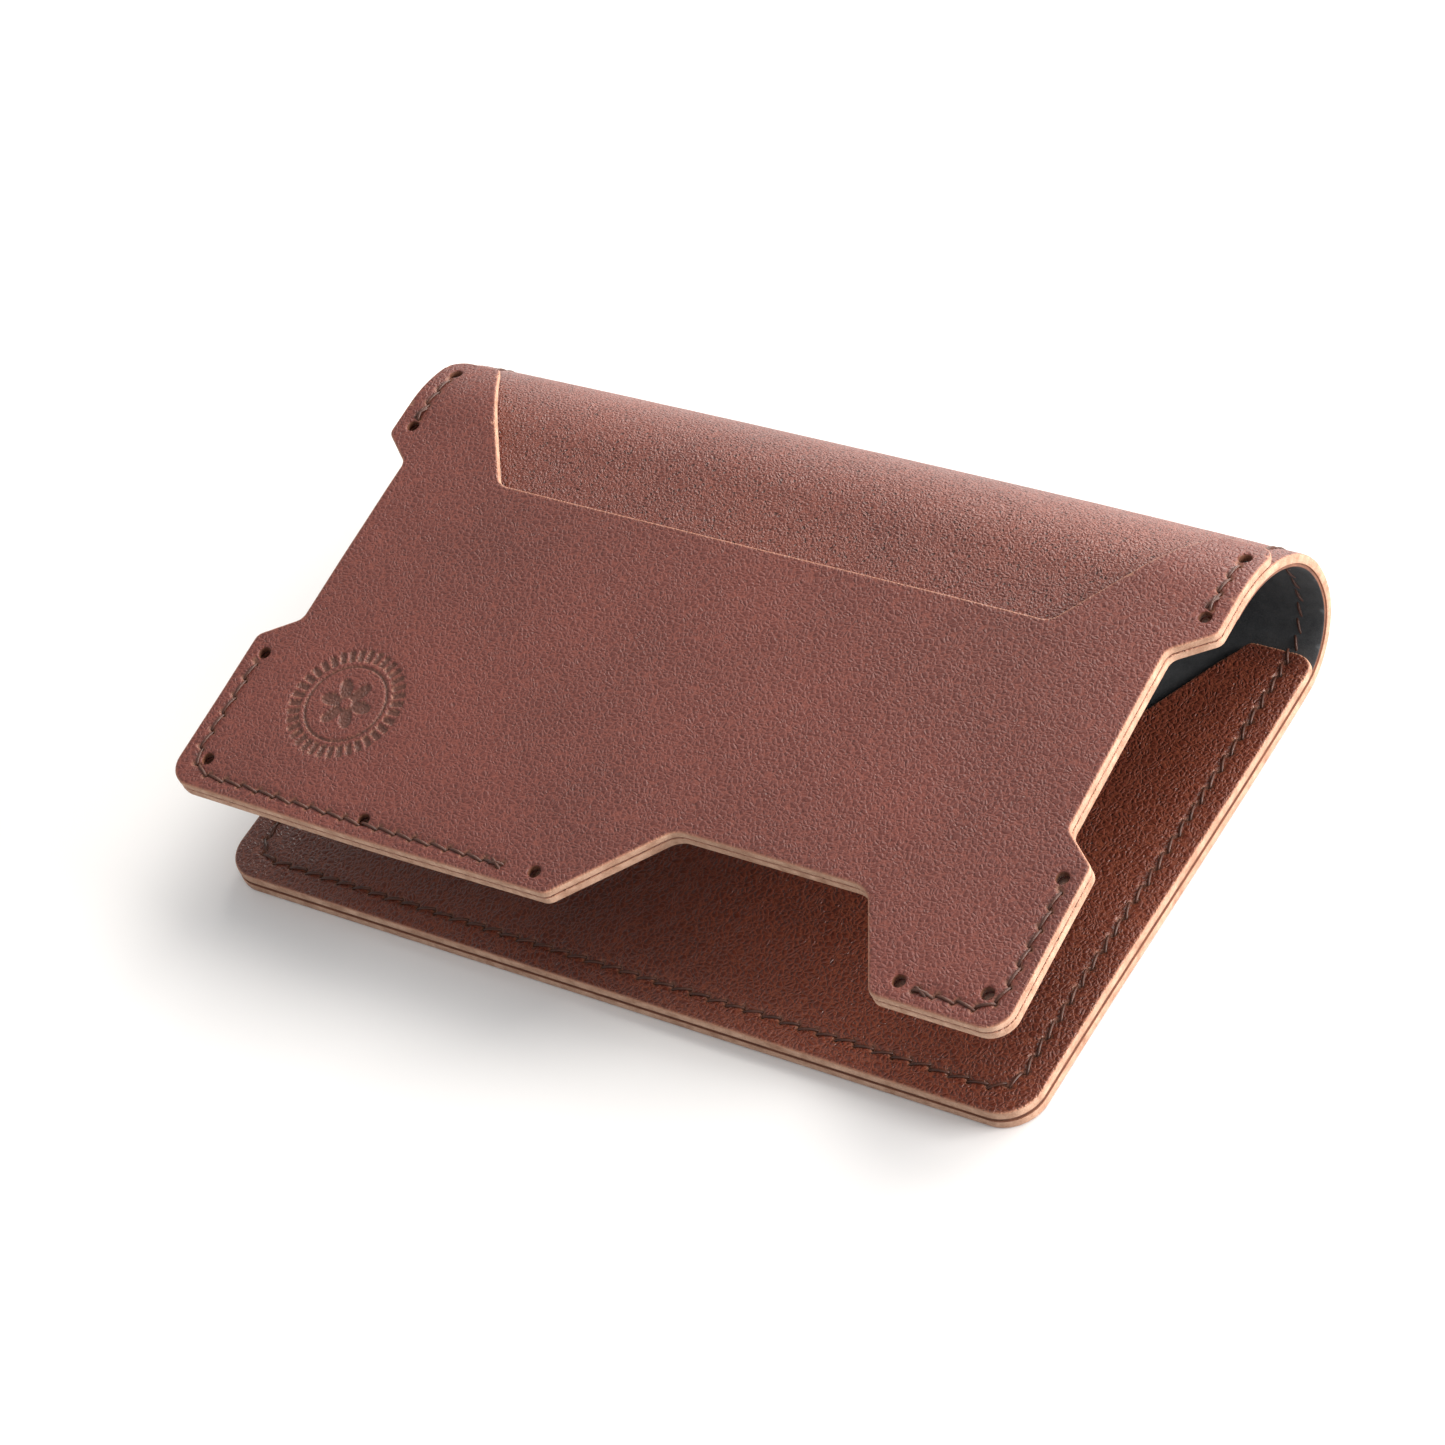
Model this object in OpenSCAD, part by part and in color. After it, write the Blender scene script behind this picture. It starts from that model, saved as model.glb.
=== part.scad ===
// Bifold leather card holder, half open, lying on its rear panel.
// X runs along the spine, Y from the free edges to the spine, Z up.
// The origin is at the middle of the footprint, on the surface it lies on.
//
// One leather cover makes the rear panel, the round spine and the front
// panel.  A pocket is sewn on each panel: on the inner face of the rear one
// and on the outer face of the front one.  A thin lining backs the cover.
// The spine bends, so cover and lining are cut there into strips, and each
// strip hinges on the next along the outermost leather of the bend.

/* [Panels] */
// Length along the spine
panel_w = 108; // [104:1:112]
// Flat length of the rear panel, from its free edge to the bend
rear_flat = 62.4; // [62:0.2:66]
// Flat length of the front panel, from its free edge to the bend
front_flat = 54.5; // [54:0.5:56]
// Slope of the front panel, rising towards the spine
front_tilt = 6.7; // [4:0.1:8]
// Corner radius of the rear panel's free corners
rear_corner = 4.5; // [3:0.5:6]
// Corner radius of the front panel's free corners
front_corner = 3; // [2:0.5:4]

/* [Leather and lining] */
// Thickness of the cover leather
cover_t = 1.1; // [0.9:0.1:1.4]
// Thickness of the pocket leather
pocket_t = 1.1; // [0.9:0.1:1.4]
// Thickness of the lining
lining_t = 0.4; // [0.3:0.1:0.6]

/* [Spine] */
// Outer radius of the upper part of the bend
top_r = 14.5; // [13:0.5:16]
// Outer radius of the lower part of the bend
bottom_r = 8.4; // [8:0.2:9]
// Cut between two neighbouring strips
strip_gap = 0.1; // [0.08:0.01:0.15]

/* [Side notches] */
// How far the notches reach in from the sides of the front panel
notch_depth = 4.3; // [3:0.1:5]
// Free edge to the outer end of the notch's near shoulder
notch_start = 20.2; // [19.8:0.1:21]
// Free edge to the outer end of the notch's far shoulder
notch_end = 50; // [49:0.1:50]
// Length of each slanted shoulder, measured along the side
notch_shoulder = 3.4; // [2.5:0.1:4]

/* [Thumb cut-out] */
// Left end of the cut-out's mouth on the free edge of the front panel
cut_left = -1.8; // [-3:0.1:0]
// Right end of the mouth
cut_right = 38.5; // [37:0.1:39]
// Depth of the cut-out
cut_depth = 11.2; // [9:0.1:13]
// Sideways run of the left slant
cut_run_left = 10.4; // [8:0.1:12]
// Sideways run of the right slant
cut_run_right = 6; // [4:0.1:8]

/* [Pocket windows] */
// Free edge to the bottom of the card window, on both pockets
window_start = 46.6; // [46:0.1:48]
// Half width of the window at its bottom
window_half = 36; // [34:0.5:37]
// Half width of the front pocket's window at the tips of its ears
front_tip_half = 48; // [46:0.1:48.5]
// Half width of the rear pocket's window at the tips of its ears
rear_tip_half = 46.2; // [45:0.1:47]
// Free edge to the tips of the ears, measured along the leather
ear_end = 64.2; // [64:0.1:64.4]

/* [Seams and holes] */
// Seam to edge on the front panel
front_inset = 1.9; // [1.7:0.1:2.1]
// Seam to edge on the rear panel and the spine
rear_inset = 3; // [2.6:0.1:3.2]
// Length of one stitch
pitch = 2.35; // [2:0.05:2.6]
// Thickness of the thread
thread = 0.45; // [0.3:0.05:0.5]
// Radius of the punched holes
hole_r = 0.75; // [0.75:0.05:1]
// Radius of the stamped ring on the front pocket
stamp_r = 7.2; // [6:0.1:7.5]

/* [Hidden] */
$fn = 96;
half_w = panel_w / 2;
near_y = -(rear_flat + bottom_r) / 2;
spine_y = near_y + rear_flat + bottom_r;
top_y = spine_y - top_r;
bottom_y = spine_y - bottom_r;
bend_z = bottom_r;

// Angles around the bend, from +Y towards +Z.  The upper arc runs from the
// front panel down to 0 and the lower arc from 0 to the floor at -90.
// Strips 1 to 3 lie on the upper arc, 4 and 5 on the lower one, and the
// six hinges are at the ends of the strips.
top_turn = 90 + front_tilt;
first_cut = 82;
top_cut = [for (k = [0:3]) first_cut * (3 - k) / 3];
bottom_cut = [0, -35, -70];
// angle taken off a strip's end, half of the cut between two strips
top_trim = strip_gap / 2 / top_r * 180 / PI;
bottom_trim = strip_gap / 2 / bottom_r * 180 / PI;

// Heights of the layers on the rear panel
lining_z = cover_t;
pocket_z = cover_t + lining_t;
face_z = pocket_z + pocket_t;

// The lining on the front panel keeps clear of seams and free edge.
front_lining_inset = 3.4;
front_lining_start = 4;
// The holes, as [x, distance from the free edge]
corner_hole = [50.4, 3.8];
flap_hole = [51.7, 18.2];
ear_hole = [51.7, 51.7];
ear_hole_gap = 9.3;
edge_holes = [[-27.6, 2.4], [-4.3, 2.2], [39.9 + hole_r, 2.3]];
stamp_at = [-38, 15];
stamp_depth = 0.15;
stamp_line = 0.5;
groove_w = thread + 0.15;
groove_d = 0.3;
// where the seams on the front panel stop
seam_end_side = 16.2;
seam_end_left = -8.2;
seam_end_right = 43.4;
ear_tip_round = 2.5;
edge_round = 1.6;
eps = 0.01;

function unit(v) = v / norm(v);

// Points of a closed outline with its corners rounded.  Each corner is
// [x, y, radius]; a radius of 0 keeps the corner sharp.
function rounded(p, steps = 8) = [
    for (k = [0:len(p) - 1])
        let (here = [p[k].x, p[k].y],
             prev = p[(k + len(p) - 1) % len(p)],
             next = p[(k + 1) % len(p)],
             a = unit([prev.x, prev.y] - here),
             b = unit([next.x, next.y] - here),
             half = acos(a * b) / 2,
             r = p[k][2],
             centre = here + unit(a + b) * (r / sin(half)),
             from = here + a * (r / tan(half)) - centre,
             to = here + b * (r / tan(half)) - centre,
             sweep = asin((from.x * to.y - from.y * to.x) / max(r * r, eps)))
        each r == 0 ? [here] : [
            for (s = [0:steps])
                let (t = sweep * s / steps)
                centre + [from.x * cos(t) - from.y * sin(t),
                          from.x * sin(t) + from.y * cos(t)]]
];

// Turns a shape drawn in X (along the spine) and Y (away from the free
// edge) with its thickness in Z onto the outer face of the front cover.
module on_front() {
    translate([0, top_y, bend_z]) rotate([front_tilt, 0, 0])
        translate([0, -front_flat, top_r]) children();
}

module on_rear(z) {
    translate([0, near_y, z]) children();
}

// A band of the bend about an axis along X, between two radii and angles
module bend_band(r_in, r_out, low, high, half = half_w) {
    rotate([90, 0, 90]) rotate([0, 0, low]) rotate_extrude(angle = high - low)
        translate([r_in, -half]) square([r_out - r_in, 2 * half]);
}

module top_band(r_in, r_out, low, high, half = half_w) {
    translate([0, top_y, bend_z]) bend_band(r_in, r_out, low, high, half);
}

module bottom_band(r_in, r_out, low, high, half = half_w) {
    translate([0, bottom_y, bend_z]) bend_band(r_in, r_out, low, high, half);
}

// The grooves for the seams at the two ends of the spine
module bend_grooves(r) {
    for (side = [-1, 1]) rotate([90, 0, 90])
        rotate_extrude()
            translate([r - groove_d, side * (half_w - rear_inset) - groove_w / 2])
                square([groove_d + 1, groove_w]);
}

// ---- seams -----------------------------------------------------------

// Stitches along a straight run; the thread's length is a little less than
// the pitch, so that each stitch stays a piece of its own.
module stitch_run(from, to, h = thread) {
    run = norm(to - from);
    count = max(1, round(run / pitch));
    step = run / count;
    angle = atan2(to.y - from.y, to.x - from.x);
    translate(from) rotate([0, 0, angle])
        for (k = [0:count - 1]) translate([(k + 0.5) * step, 0, 0])
            translate([-step * 0.4, -thread / 2, 0]) cube([step * 0.8, thread, h]);
}

module stitch_path(p, h = thread) {
    for (k = [0:len(p) - 2]) stitch_run(p[k], p[k + 1], h);
}

module groove_path(p, depth) {
    for (k = [0:len(p) - 2]) {
        run = p[k + 1] - p[k];
        translate(p[k]) rotate([0, 0, atan2(run.y, run.x)])
            translate([-groove_w / 2, -groove_w / 2, 0])
                cube([norm(run) + groove_w, groove_w, depth]);
    }
}

function front_seam_left() = let (x = half_w - front_inset, c = front_corner) [
    [-x, seam_end_side], [-x, c], [-half_w + c, front_inset],
    [seam_end_left, front_inset]];
function front_seam_right() = let (x = half_w - front_inset, c = front_corner) [
    [x, seam_end_side], [x, c], [half_w - c, front_inset],
    [seam_end_right, front_inset]];
function ear_seam(side) = [
    [side * ear_hole.x, ear_hole.y + hole_r + 0.3],
    [side * ear_hole.x, first_cut_v() - 0.3]];
function rear_seam_path() = let (x = half_w - rear_inset, c = rear_corner) [
    [-x, rear_flat - 0.5], [-x, c], [-half_w + c, rear_inset],
    [half_w - c, rear_inset], [x, c], [x, rear_flat - 0.5]];

// distance from the free edge to the first hinge, along the outer leather
function first_cut_v() = front_flat
    + (top_turn - first_cut) * PI / 180 * (top_r + pocket_t);

// ---- outlines --------------------------------------------------------

// Half of the front panel's side, from the free corner up, for one side
function notch_points(side) = [
    [side * half_w, notch_start, edge_round],
    [side * (half_w - notch_depth), notch_start + notch_shoulder, edge_round],
    [side * (half_w - notch_depth), notch_end - notch_shoulder, edge_round],
    [side * half_w, notch_end, edge_round]];

function reversed(p) = [for (k = [len(p) - 1:-1:0]) p[k]];

function cut_points() = [
    [cut_left, 0, edge_round],
    [cut_left + cut_run_left, cut_depth, 3],
    [cut_right - cut_run_right, cut_depth, 3],
    [cut_right, 0, edge_round]];

module front_outline(end) {
    polygon(rounded(concat(
        [[-half_w, 0, front_corner]], cut_points(), [[half_w, 0, front_corner]],
        notch_points(1), [[half_w, end, 0], [-half_w, end, 0]],
        reversed(notch_points(-1)))));
}

// Sideways run of the window's slanted edge for each mm away from the free
// edge, for a window of this half width at the tips of the ears
function window_slope(tip_half) = (tip_half - window_half) / (ear_end - window_start);

// The window of a pocket.  Its slanted edges go on past the tips of the ears.
module window_cut(tip_half) {
    slope = window_slope(tip_half);
    top = ear_end + 5;
    polygon(rounded([
        [window_half + slope * (top - window_start), top, 0],
        [-window_half - slope * (top - window_start), top, 0],
        [-window_half, window_start, 2], [window_half, window_start, 2]]));
}

module rear_outline(end) {
    polygon(rounded([
        [-half_w, 0, rear_corner], [half_w, 0, rear_corner],
        [half_w, end, 0], [-half_w, end, 0]]));
}

module front_holes(height) {
    for (side = [-1, 1], at = [corner_hole, flap_hole, ear_hole])
        translate([side * at.x, at.y, -height]) cylinder(r = hole_r, h = 2 * height);
    for (at = edge_holes)
        translate([at.x, at.y, -height]) cylinder(r = hole_r, h = 2 * height);
}

// The upper hole of each ear, drilled towards the middle of the bend
module tip_holes() {
    turn = (ear_hole.y + ear_hole_gap - front_flat) / (top_r + pocket_t) * 180 / PI;
    for (side = [-1, 1])
        translate([side * ear_hole.x, top_y, bend_z])
            rotate([front_tilt - turn, 0, 0])
                translate([0, 0, top_r - 4]) cylinder(r = hole_r, h = 8);
}

// ---- rear panel ------------------------------------------------------

module rear_cover() {
    color("saddlebrown") {
        difference() {
            on_rear(0) linear_extrude(cover_t) rear_outline(rear_flat);
            on_rear(-1) groove_path(rear_seam_path(), 1 + groove_d);
        }
        bottom_band(bottom_r - cover_t, bottom_r, -90, bottom_cut[2] - bottom_trim);
    }
}

module rear_lining() {
    color("darkslategray") {
        on_rear(lining_z) linear_extrude(lining_t) rear_outline(rear_flat);
        bottom_band(bottom_r - cover_t - lining_t, bottom_r - cover_t,
            -90, bottom_cut[2] - bottom_trim);
    }
}

module rear_pocket() {
    tip_turn = (ear_end - rear_flat) / (bottom_r - pocket_z) * 180 / PI;
    color("sienna") difference() {
        union() {
            on_rear(pocket_z) linear_extrude(pocket_t) rear_outline(rear_flat);
            bottom_band(bottom_r - face_z, bottom_r - pocket_z, -90, -90 + tip_turn);
        }
        on_rear(0) linear_extrude(10) window_cut(rear_tip_half);
        on_rear(face_z - groove_d) groove_path(rear_seam_path(), 2);
    }
}

module rear_seam() {
    color("black") {
        on_rear(0) stitch_path(rear_seam_path(), groove_d);
        on_rear(face_z - groove_d) stitch_path(rear_seam_path());
    }
}

// ---- spine -----------------------------------------------------------

// What strip k follows: the y of its arc's centre, the arc's outer radius,
// and its lowest and highest angle
function strip_y(k) = k <= 3 ? top_y : bottom_y;
function strip_r(k) = k <= 3 ? top_r : bottom_r;
function strip_low(k) = k <= 3 ? top_cut[k] + top_trim : bottom_cut[k - 3] + bottom_trim;
function strip_high(k) = k <= 3 ? top_cut[k - 1] - top_trim : bottom_cut[k - 4] - bottom_trim;

// A layer of strip k, from one depth below the outer leather to another
module strip_layer(k, depth_out, depth_in) {
    translate([0, strip_y(k), bend_z])
        bend_band(strip_r(k) - depth_in, strip_r(k) - depth_out, strip_low(k), strip_high(k));
}

module spine_cover(k) {
    color("peru") difference() {
        strip_layer(k, 0, cover_t);
        translate([0, strip_y(k), bend_z]) bend_grooves(strip_r(k));
        if (k == 1) tip_holes();
    }
}

module spine_lining(k) {
    color("darkslategray") difference() {
        strip_layer(k, cover_t, cover_t + lining_t);
        if (k == 1) tip_holes();
    }
}

// One stitch on the bend: [arc centre y, radius of its flat, angle]
module bend_stitch(y, r, angle, side, h) {
    length = pitch * 0.8;
    translate([side * (half_w - rear_inset), y, bend_z]) rotate([angle - 90, 0, 0])
        translate([-thread / 2, -length / 2, r]) cube([thread, length, h]);
}

// Stitches of strip k, on the outside in the groove and on the lining
module spine_seam(k) {
    span = strip_high(k) - strip_low(k);
    count = max(1, floor(span * PI / 180 * strip_r(k) / pitch));
    inside_r = strip_r(k) - cover_t - lining_t - thread - 0.1;
    color("black") for (side = [-1, 1], n = [0:count - 1]) {
        angle = strip_low(k) + span * (n + 0.5) / count;
        bend_stitch(strip_y(k), strip_r(k) - groove_d + 0.08, angle, side, groove_d - 0.1);
        bend_stitch(strip_y(k), inside_r, angle, side, thread);
    }
}

module spine_cover_1() { spine_cover(1); }
module spine_cover_2() { spine_cover(2); }
module spine_cover_3() { spine_cover(3); }
module spine_cover_4() { spine_cover(4); }
module spine_cover_5() { spine_cover(5); }
module spine_lining_1() { spine_lining(1); }
module spine_lining_2() { spine_lining(2); }
module spine_lining_3() { spine_lining(3); }
module spine_lining_4() { spine_lining(4); }
module spine_lining_5() { spine_lining(5); }
module spine_seam_1() { spine_seam(1); }
module spine_seam_2() { spine_seam(2); }
module spine_seam_3() { spine_seam(3); }
module spine_seam_4() { spine_seam(4); }
module spine_seam_5() { spine_seam(5); }

// ---- front panel -----------------------------------------------------

module front_cover() {
    color("chocolate") {
        on_front() difference() {
            translate([0, 0, -cover_t]) linear_extrude(cover_t) front_outline(front_flat);
            front_holes(4);
            for (p = [front_seam_left(), front_seam_right()])
                translate([0, 0, -cover_t - 1]) groove_path(p, 1 + groove_d);
        }
        top_band(top_r - cover_t, top_r, top_cut[0] + top_trim, top_turn);
    }
}

module front_lining() {
    inner = half_w - notch_depth - front_lining_inset / 2;
    color("darkslategray") {
        on_front() translate([0, 0, -cover_t - lining_t]) linear_extrude(lining_t)
            polygon(rounded([
                [-inner, front_lining_start, 3],
                [cut_left - 4, front_lining_start, 3],
                [cut_left + cut_run_left - 3, cut_depth + 4, 3],
                [cut_right - cut_run_right + 3, cut_depth + 4, 3],
                [cut_right + 3.5, front_lining_start, 3],
                [inner, front_lining_start, 3],
                [inner, front_flat - 2.5, 1],
                [half_w, front_flat - 0.8, 0.5],
                [half_w, front_flat, 0],
                [-half_w, front_flat, 0],
                [-half_w, front_flat - 0.8, 0.5],
                [-inner, front_flat - 2.5, 1]]));
        top_band(top_r - cover_t - lining_t, top_r - cover_t,
            top_cut[0] + top_trim, top_turn);
    }
}

module front_pocket() {
    color("brown") difference() {
        union() {
            on_front() linear_extrude(pocket_t) front_outline(front_flat);
            top_band(top_r, top_r + pocket_t, top_cut[0] + top_trim, top_turn);
        }
        on_front() {
            translate([0, 0, -8]) linear_extrude(16) window_cut(front_tip_half);
            front_holes(4);
            translate([0, 0, pocket_t - groove_d]) {
                groove_path(front_seam_left(), 2);
                groove_path(front_seam_right(), 2);
                groove_path(ear_seam(-1), 2);
                groove_path(ear_seam(1), 2);
            }
            translate([stamp_at.x, stamp_at.y, pocket_t - stamp_depth]) difference() {
                cylinder(r = stamp_r, h = 1);
                translate([0, 0, -1]) cylinder(r = stamp_r - stamp_line, h = 3);
            }
        }
    }
}

// The ear tips lie on the first strip of the spine.
module ear_tip(side) {
    tip_turn = (ear_end - front_flat) / (top_r + pocket_t) * 180 / PI;
    low = top_turn - tip_turn;
    mid = (low + top_cut[0]) / 2;
    reach = (top_r + pocket_t) * sin(top_cut[0] - mid);
    slope = window_slope(front_tip_half);
    color("brown") difference() {
        intersection() {
            top_band(top_r, top_r + pocket_t, low, top_cut[0] - top_trim);
            translate([0, top_y, bend_z]) rotate([mid - 90, 0, 0]) linear_extrude(30)
                polygon(rounded([
                    [side * (front_tip_half - (2 * reach + 1) * slope), -reach - 1, 0],
                    [side * half_w, -reach - 1, 0],
                    [side * half_w, reach, ear_tip_round],
                    [side * front_tip_half, reach, 1]]));
        }
        tip_holes();
    }
}

module ear_tip_left() { ear_tip(-1); }
module ear_tip_right() { ear_tip(1); }

module front_stitches(p) {
    color("black") on_front() {
        translate([0, 0, pocket_t - groove_d]) stitch_path(p);
        translate([0, 0, -cover_t]) stitch_path(p, groove_d);
    }
}

module front_seam_left_side() { front_stitches(front_seam_left()); }
module front_seam_right_side() { front_stitches(front_seam_right()); }

module ear_stitches(side) {
    color("black") on_front()
        translate([0, 0, pocket_t - groove_d]) stitch_path(ear_seam(side));
}

module ear_seam_left() { ear_stitches(-1); }
module ear_seam_right() { ear_stitches(1); }

rear_cover();
rear_lining();
rear_pocket();
rear_seam();
spine_cover_1();
spine_cover_2();
spine_cover_3();
spine_cover_4();
spine_cover_5();
spine_lining_1();
spine_lining_2();
spine_lining_3();
spine_lining_4();
spine_lining_5();
spine_seam_1();
spine_seam_2();
spine_seam_3();
spine_seam_4();
spine_seam_5();
front_cover();
front_lining();
front_pocket();
ear_tip_left();
ear_tip_right();
front_seam_left_side();
front_seam_right_side();
ear_seam_left();
ear_seam_right();
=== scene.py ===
# %% [markdown]
# # A half-open leather card holder
# The holder is three cut pieces of cowhide and a thin lining: a cover that is
# rear panel, round spine and front panel in one, and a pocket sewn on each
# panel.  Everything that shows is flat leather, cut with a die and then bent.
# So each piece is drawn flat, as on the cutting table, filled with triangles,
# and only then carried round the bend.  The CAD model is loaded first: it
# gives the bodies that the pieces move with.

import bpy
import numpy as np
from mathutils import Matrix, Vector
from mathutils.geometry import delaunay_2d_cdt


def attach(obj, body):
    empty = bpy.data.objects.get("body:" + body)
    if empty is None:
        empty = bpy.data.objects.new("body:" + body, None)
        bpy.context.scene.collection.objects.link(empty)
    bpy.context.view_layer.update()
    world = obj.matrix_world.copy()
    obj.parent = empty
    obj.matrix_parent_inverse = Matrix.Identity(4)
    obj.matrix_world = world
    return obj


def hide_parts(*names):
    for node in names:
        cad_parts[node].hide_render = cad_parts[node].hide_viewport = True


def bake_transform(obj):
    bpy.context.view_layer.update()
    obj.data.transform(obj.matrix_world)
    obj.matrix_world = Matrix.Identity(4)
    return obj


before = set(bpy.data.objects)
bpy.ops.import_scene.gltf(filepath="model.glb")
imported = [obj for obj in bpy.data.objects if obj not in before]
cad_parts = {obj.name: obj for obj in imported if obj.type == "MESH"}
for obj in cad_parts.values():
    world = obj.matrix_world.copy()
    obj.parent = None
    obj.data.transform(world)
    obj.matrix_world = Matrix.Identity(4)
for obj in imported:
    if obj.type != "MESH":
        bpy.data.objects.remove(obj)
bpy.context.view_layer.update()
MM = 0.001

# %% [markdown]
# ## The camera
# It looks down from the near right, from about half a metre, with a long lens
# so that the far edge hardly shrinks, and it is rolled, so the holder seems to
# lie on a slope.

# %% Camera
def unit(v):
    """v divided by its own length, row by row."""
    return v / np.linalg.norm(v, axis=-1, keepdims=True)


def aim(place, target, roll, lens):
    """A camera at place that looks at target (mm), turned by roll degrees about its line of sight.
    Its level sideways direction is sight x up; roll turns that and the upward one together."""
    sight = unit(np.subtract(target, place))
    level = unit(np.cross(sight, (0, 0, 1)))
    upward = np.cross(level, sight)
    turn = np.radians(roll)
    right = level * np.cos(turn) + upward * np.sin(turn)
    data = bpy.data.cameras.new("camera")
    data.lens, data.sensor_width, data.clip_start = lens, 36, 0.01
    camera = bpy.data.objects.new("camera", data)
    bpy.context.scene.collection.objects.link(camera)
    world = np.eye(4)
    world[:3, :3] = np.stack([right, np.cross(right, sight), -sight], axis=1)
    world[:3, 3] = np.multiply(place, MM)
    camera.matrix_world = Matrix(world.tolist())
    bpy.context.scene.camera = camera


aim(place=(238.0, -221.4, 333.8), target=(0.72, -4.63, 12.0), roll=-22.5, lens=104.6)

# %% [markdown]
# ## The sizes, and the way round the bend
# All sizes are in millimetres, and most are the CAD model's own.  A point of
# the leather is named by three numbers: x along the spine, s the way over the
# cover's outer face from the front free edge, round the bend, to the rear free
# edge, and n the height above that face.  One function turns them into space,
# so every layer, hole and stitch follows the same bend.

# %% Sizes
HALF_W = 54.0
FRONT, REAR = 54.5, 62.4
TOP_R, LOW_R = 14.5, 8.4
TILT = np.radians(6.7)
TURN = np.pi / 2 + TILT
SPINE_Y = 35.4
TOP_Y, LOW_Y, BEND_Z = SPINE_Y - TOP_R, SPINE_Y - LOW_R, LOW_R
COVER_T, LINING_T, POCKET_T = 1.1, 0.4, 1.1
S_MID = FRONT + TOP_R * TURN
S_REAR = S_MID + LOW_R * np.pi / 2
S_END = S_REAR + REAR
print(f"leather from free edge to free edge: {S_END:.1f} mm")


def ease(t):
    """0 below 0, 1 above 1, and 3t^2 - 2t^3 between."""
    t = np.clip(t, 0, 1)
    return t * t * (3 - 2 * t)


def settle(x, s):
    """Sideways and upward moves (mm) by which hand-made leather leaves the drawn shape.
    The rear panel narrows a little towards its free edge; the ends of the spine sag a little below
    its middle; the front free edge hangs left of the middle; and a few slow waves run over it."""
    dx = -0.024 * x * ease((s - S_REAR) / REAR)
    crest = np.exp(-((s - 62) / 15) ** 2)
    right, left = np.clip(x / HALF_W, 0, 1), np.clip(-x / HALF_W, 0, 1)
    dz = -crest * (1.0 * right ** 2 + 0.45 * left ** 2)
    flap = ease(1 - s / 40) * np.exp(-((x + 27) / 16) ** 2)
    dz = dz - 0.35 * flap
    wave = np.sin(x / 17 + s / 23) * np.sin(s / 13 - x / 31 + 1)
    return dx, dz + 0.07 * wave * ease((S_REAR - s) / 20)


def place(x, s, n):
    """The point in space (mm) of leather coordinates x, s, n.
    Straight panels keep n as height over the face; on an arc the point lies at radius R + n, and the
    angle is the arc length from the arc's start divided by R."""
    x, s, n = np.broadcast_arrays(np.asarray(x, float), s, n)
    a = TURN - (s - FRONT) / TOP_R
    b = -(s - S_MID) / LOW_R
    flat = s - FRONT
    zone = [s < FRONT, s < S_MID, s < S_REAR]
    y = np.select(zone, [TOP_Y - (TOP_R + n) * np.sin(TILT) + flat * np.cos(TILT),
                         TOP_Y + (TOP_R + n) * np.cos(a), LOW_Y + (LOW_R + n) * np.cos(b)],
                  LOW_Y - (s - S_REAR))
    z = np.select(zone, [BEND_Z + (TOP_R + n) * np.cos(TILT) + flat * np.sin(TILT),
                         BEND_Z + (TOP_R + n) * np.sin(a), BEND_Z + (LOW_R + n) * np.sin(b)],
                  BEND_Z - (LOW_R + n))
    dx, dz = settle(x, s)
    return np.stack([x + dx, y, z + dz], axis=-1)


# %% [markdown]
# ## Cutting a piece of leather
# A die gives each piece a closed outline with rounded corners, and punches
# holes in it.  The outline is worked out as points, and the area inside is
# filled by constrained Delaunay triangulation, which keeps every given edge
# and makes well-shaped triangles between the loose points scattered inside.
# Points lie close together where the surface has detail, along edges and
# seams, and far apart where it is plain.

# %% Outlines
def rounded(corners, arc_step=0.22, line_step=0.5):
    """Points of a closed outline. Each corner is x, s, radius: its arc touches both sides at
    radius / tan(half angle) from the corner. Straight sides are cut into equal steps."""
    c = np.array(corners, float)
    here, radius = c[:, :2], c[:, 2:]
    back, ahead = unit(np.roll(here, 1, 0) - here), unit(np.roll(here, -1, 0) - here)
    half = np.arccos(np.clip((back * ahead).sum(1, keepdims=True), -1, 1)) / 2
    centre = here + unit(back + ahead) * radius / np.sin(half)
    start, end = here + back * radius / np.tan(half), here + ahead * radius / np.tan(half)
    parts = []
    for k in range(len(c)):
        if radius[k] > 0:
            u, w = start[k] - centre[k], end[k] - centre[k]
            sweep = np.arctan2(u[0] * w[1] - u[1] * w[0], u @ w)
            t = np.linspace(0, sweep, int(np.ceil(abs(sweep) * radius[k, 0] / arc_step)) + 1)[:, None]
            parts.append(centre[k] + u * np.cos(t) + np.array([-u[1], u[0]]) * np.sin(t))
        else:
            parts.append(here[k:k + 1])
        goal = start[(k + 1) % len(c)]
        way = goal - end[k]
        count = int(np.ceil(np.linalg.norm(way) / line_step))
        parts.append(end[k] + way * (np.arange(1, count) / count)[:, None])
    points = np.concatenate(parts)
    return points[np.linalg.norm(points - np.roll(points, 1, 0), axis=1) > 1e-3]


def circle(x, s, radius, count=28):
    """Points round a punched hole."""
    t = np.arange(count) * 2 * np.pi / count
    return np.stack([x + radius * np.cos(t), s + radius * np.sin(t)], axis=1)


def segments(loops):
    """Start and end points of every side of every closed loop."""
    return (np.concatenate(loops),
            np.concatenate([np.roll(loop, -1, 0) for loop in loops]))


FAR, TILE = 4.0, 9.0


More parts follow.
